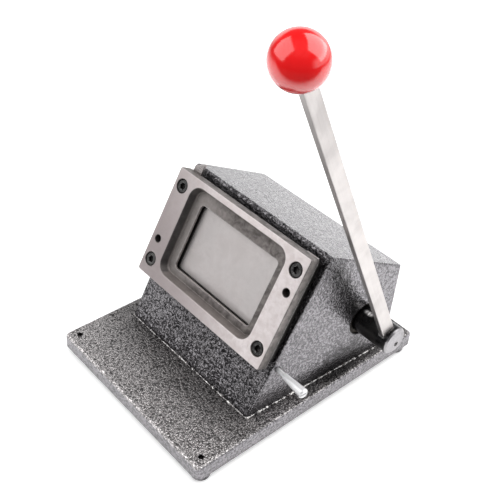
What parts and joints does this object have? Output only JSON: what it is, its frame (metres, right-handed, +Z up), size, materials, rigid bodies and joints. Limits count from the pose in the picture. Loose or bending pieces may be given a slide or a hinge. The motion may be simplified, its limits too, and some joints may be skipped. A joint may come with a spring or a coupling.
{
  "type": "lever card cutter",
  "caption": "Desk press with a sloping die plate and a hand lever that cuts wallet-size cards out of plastic sheet with a sliding punch.",
  "frame": {"origin": "middle of the four bench holes, on the plane that the pads under the base stand on", "axes": "+X towards the lever side, +Y towards the back, +Z up"},
  "size_m": [0.2019, 0.225, 0.331],
  "materials": {
    "hammer_paint": "hammered grey paint on cast iron",
    "die_steel": "satin ground",
    "dark_steel": "dark, oiled",
    "black_steel": "black oxide",
    "lever_steel": "bright drawn",
    "bright_steel": "polished",
    "bronze": "machined bronze",
    "red_knob": "gloss"
  },
  "bodies": {
    "frame": {"base_plate": "hammer_paint", "body_casting": "hammer_paint", "body_screws": "black_steel", "guide_plate": "dark_steel", "edge_guide_left": "die_steel", "edge_guide_right": "die_steel", "die_plate": "die_steel", "die_screws": "black_steel", "dowel_pins": "dark_steel", "stop_pin": "bright_steel", "shaft_bushes": "bronze", "guide_rods": "bright_steel", "rod_rings": "black_steel", "return_springs": "lever_steel"},
    "lever": {"lever_shaft": "black_steel", "punch_cam": "die_steel", "cam_pin": "bright_steel", "shaft_collars": "dark_steel", "collar_screws": "black_steel", "lever_bar": "lever_steel", "lever_screw": "black_steel", "ball_knob": "red_knob"},
    "ram": {"punch": "die_steel", "ram_block": "dark_steel", "punch_screws": "black_steel", "ram_bushes": "bronze", "tappet_plate": "die_steel", "tappet_screws": "black_steel"}
  },
  "joints": [
    {"name": "lever_swing", "type": "hinge", "parent": "frame", "child": "lever", "pos_m": [0, 0.05418, 0.05908], "axis": [1, 0, 0], "range_deg": [0, 61], "stiffness_Nm_per_rad": 0.45, "springref_deg": -42.97},
    {"name": "punch_slide", "type": "slide", "parent": "frame", "child": "ram", "axis": [0, -0.8829, 0.4695], "range_m": [0, 0.0072], "deforming": ["return_springs"]}
  ],
  "couplings": [
    {"joint": "punch_slide", "follows": "lever_swing", "m_per_rad": 0.0067}
  ]
}
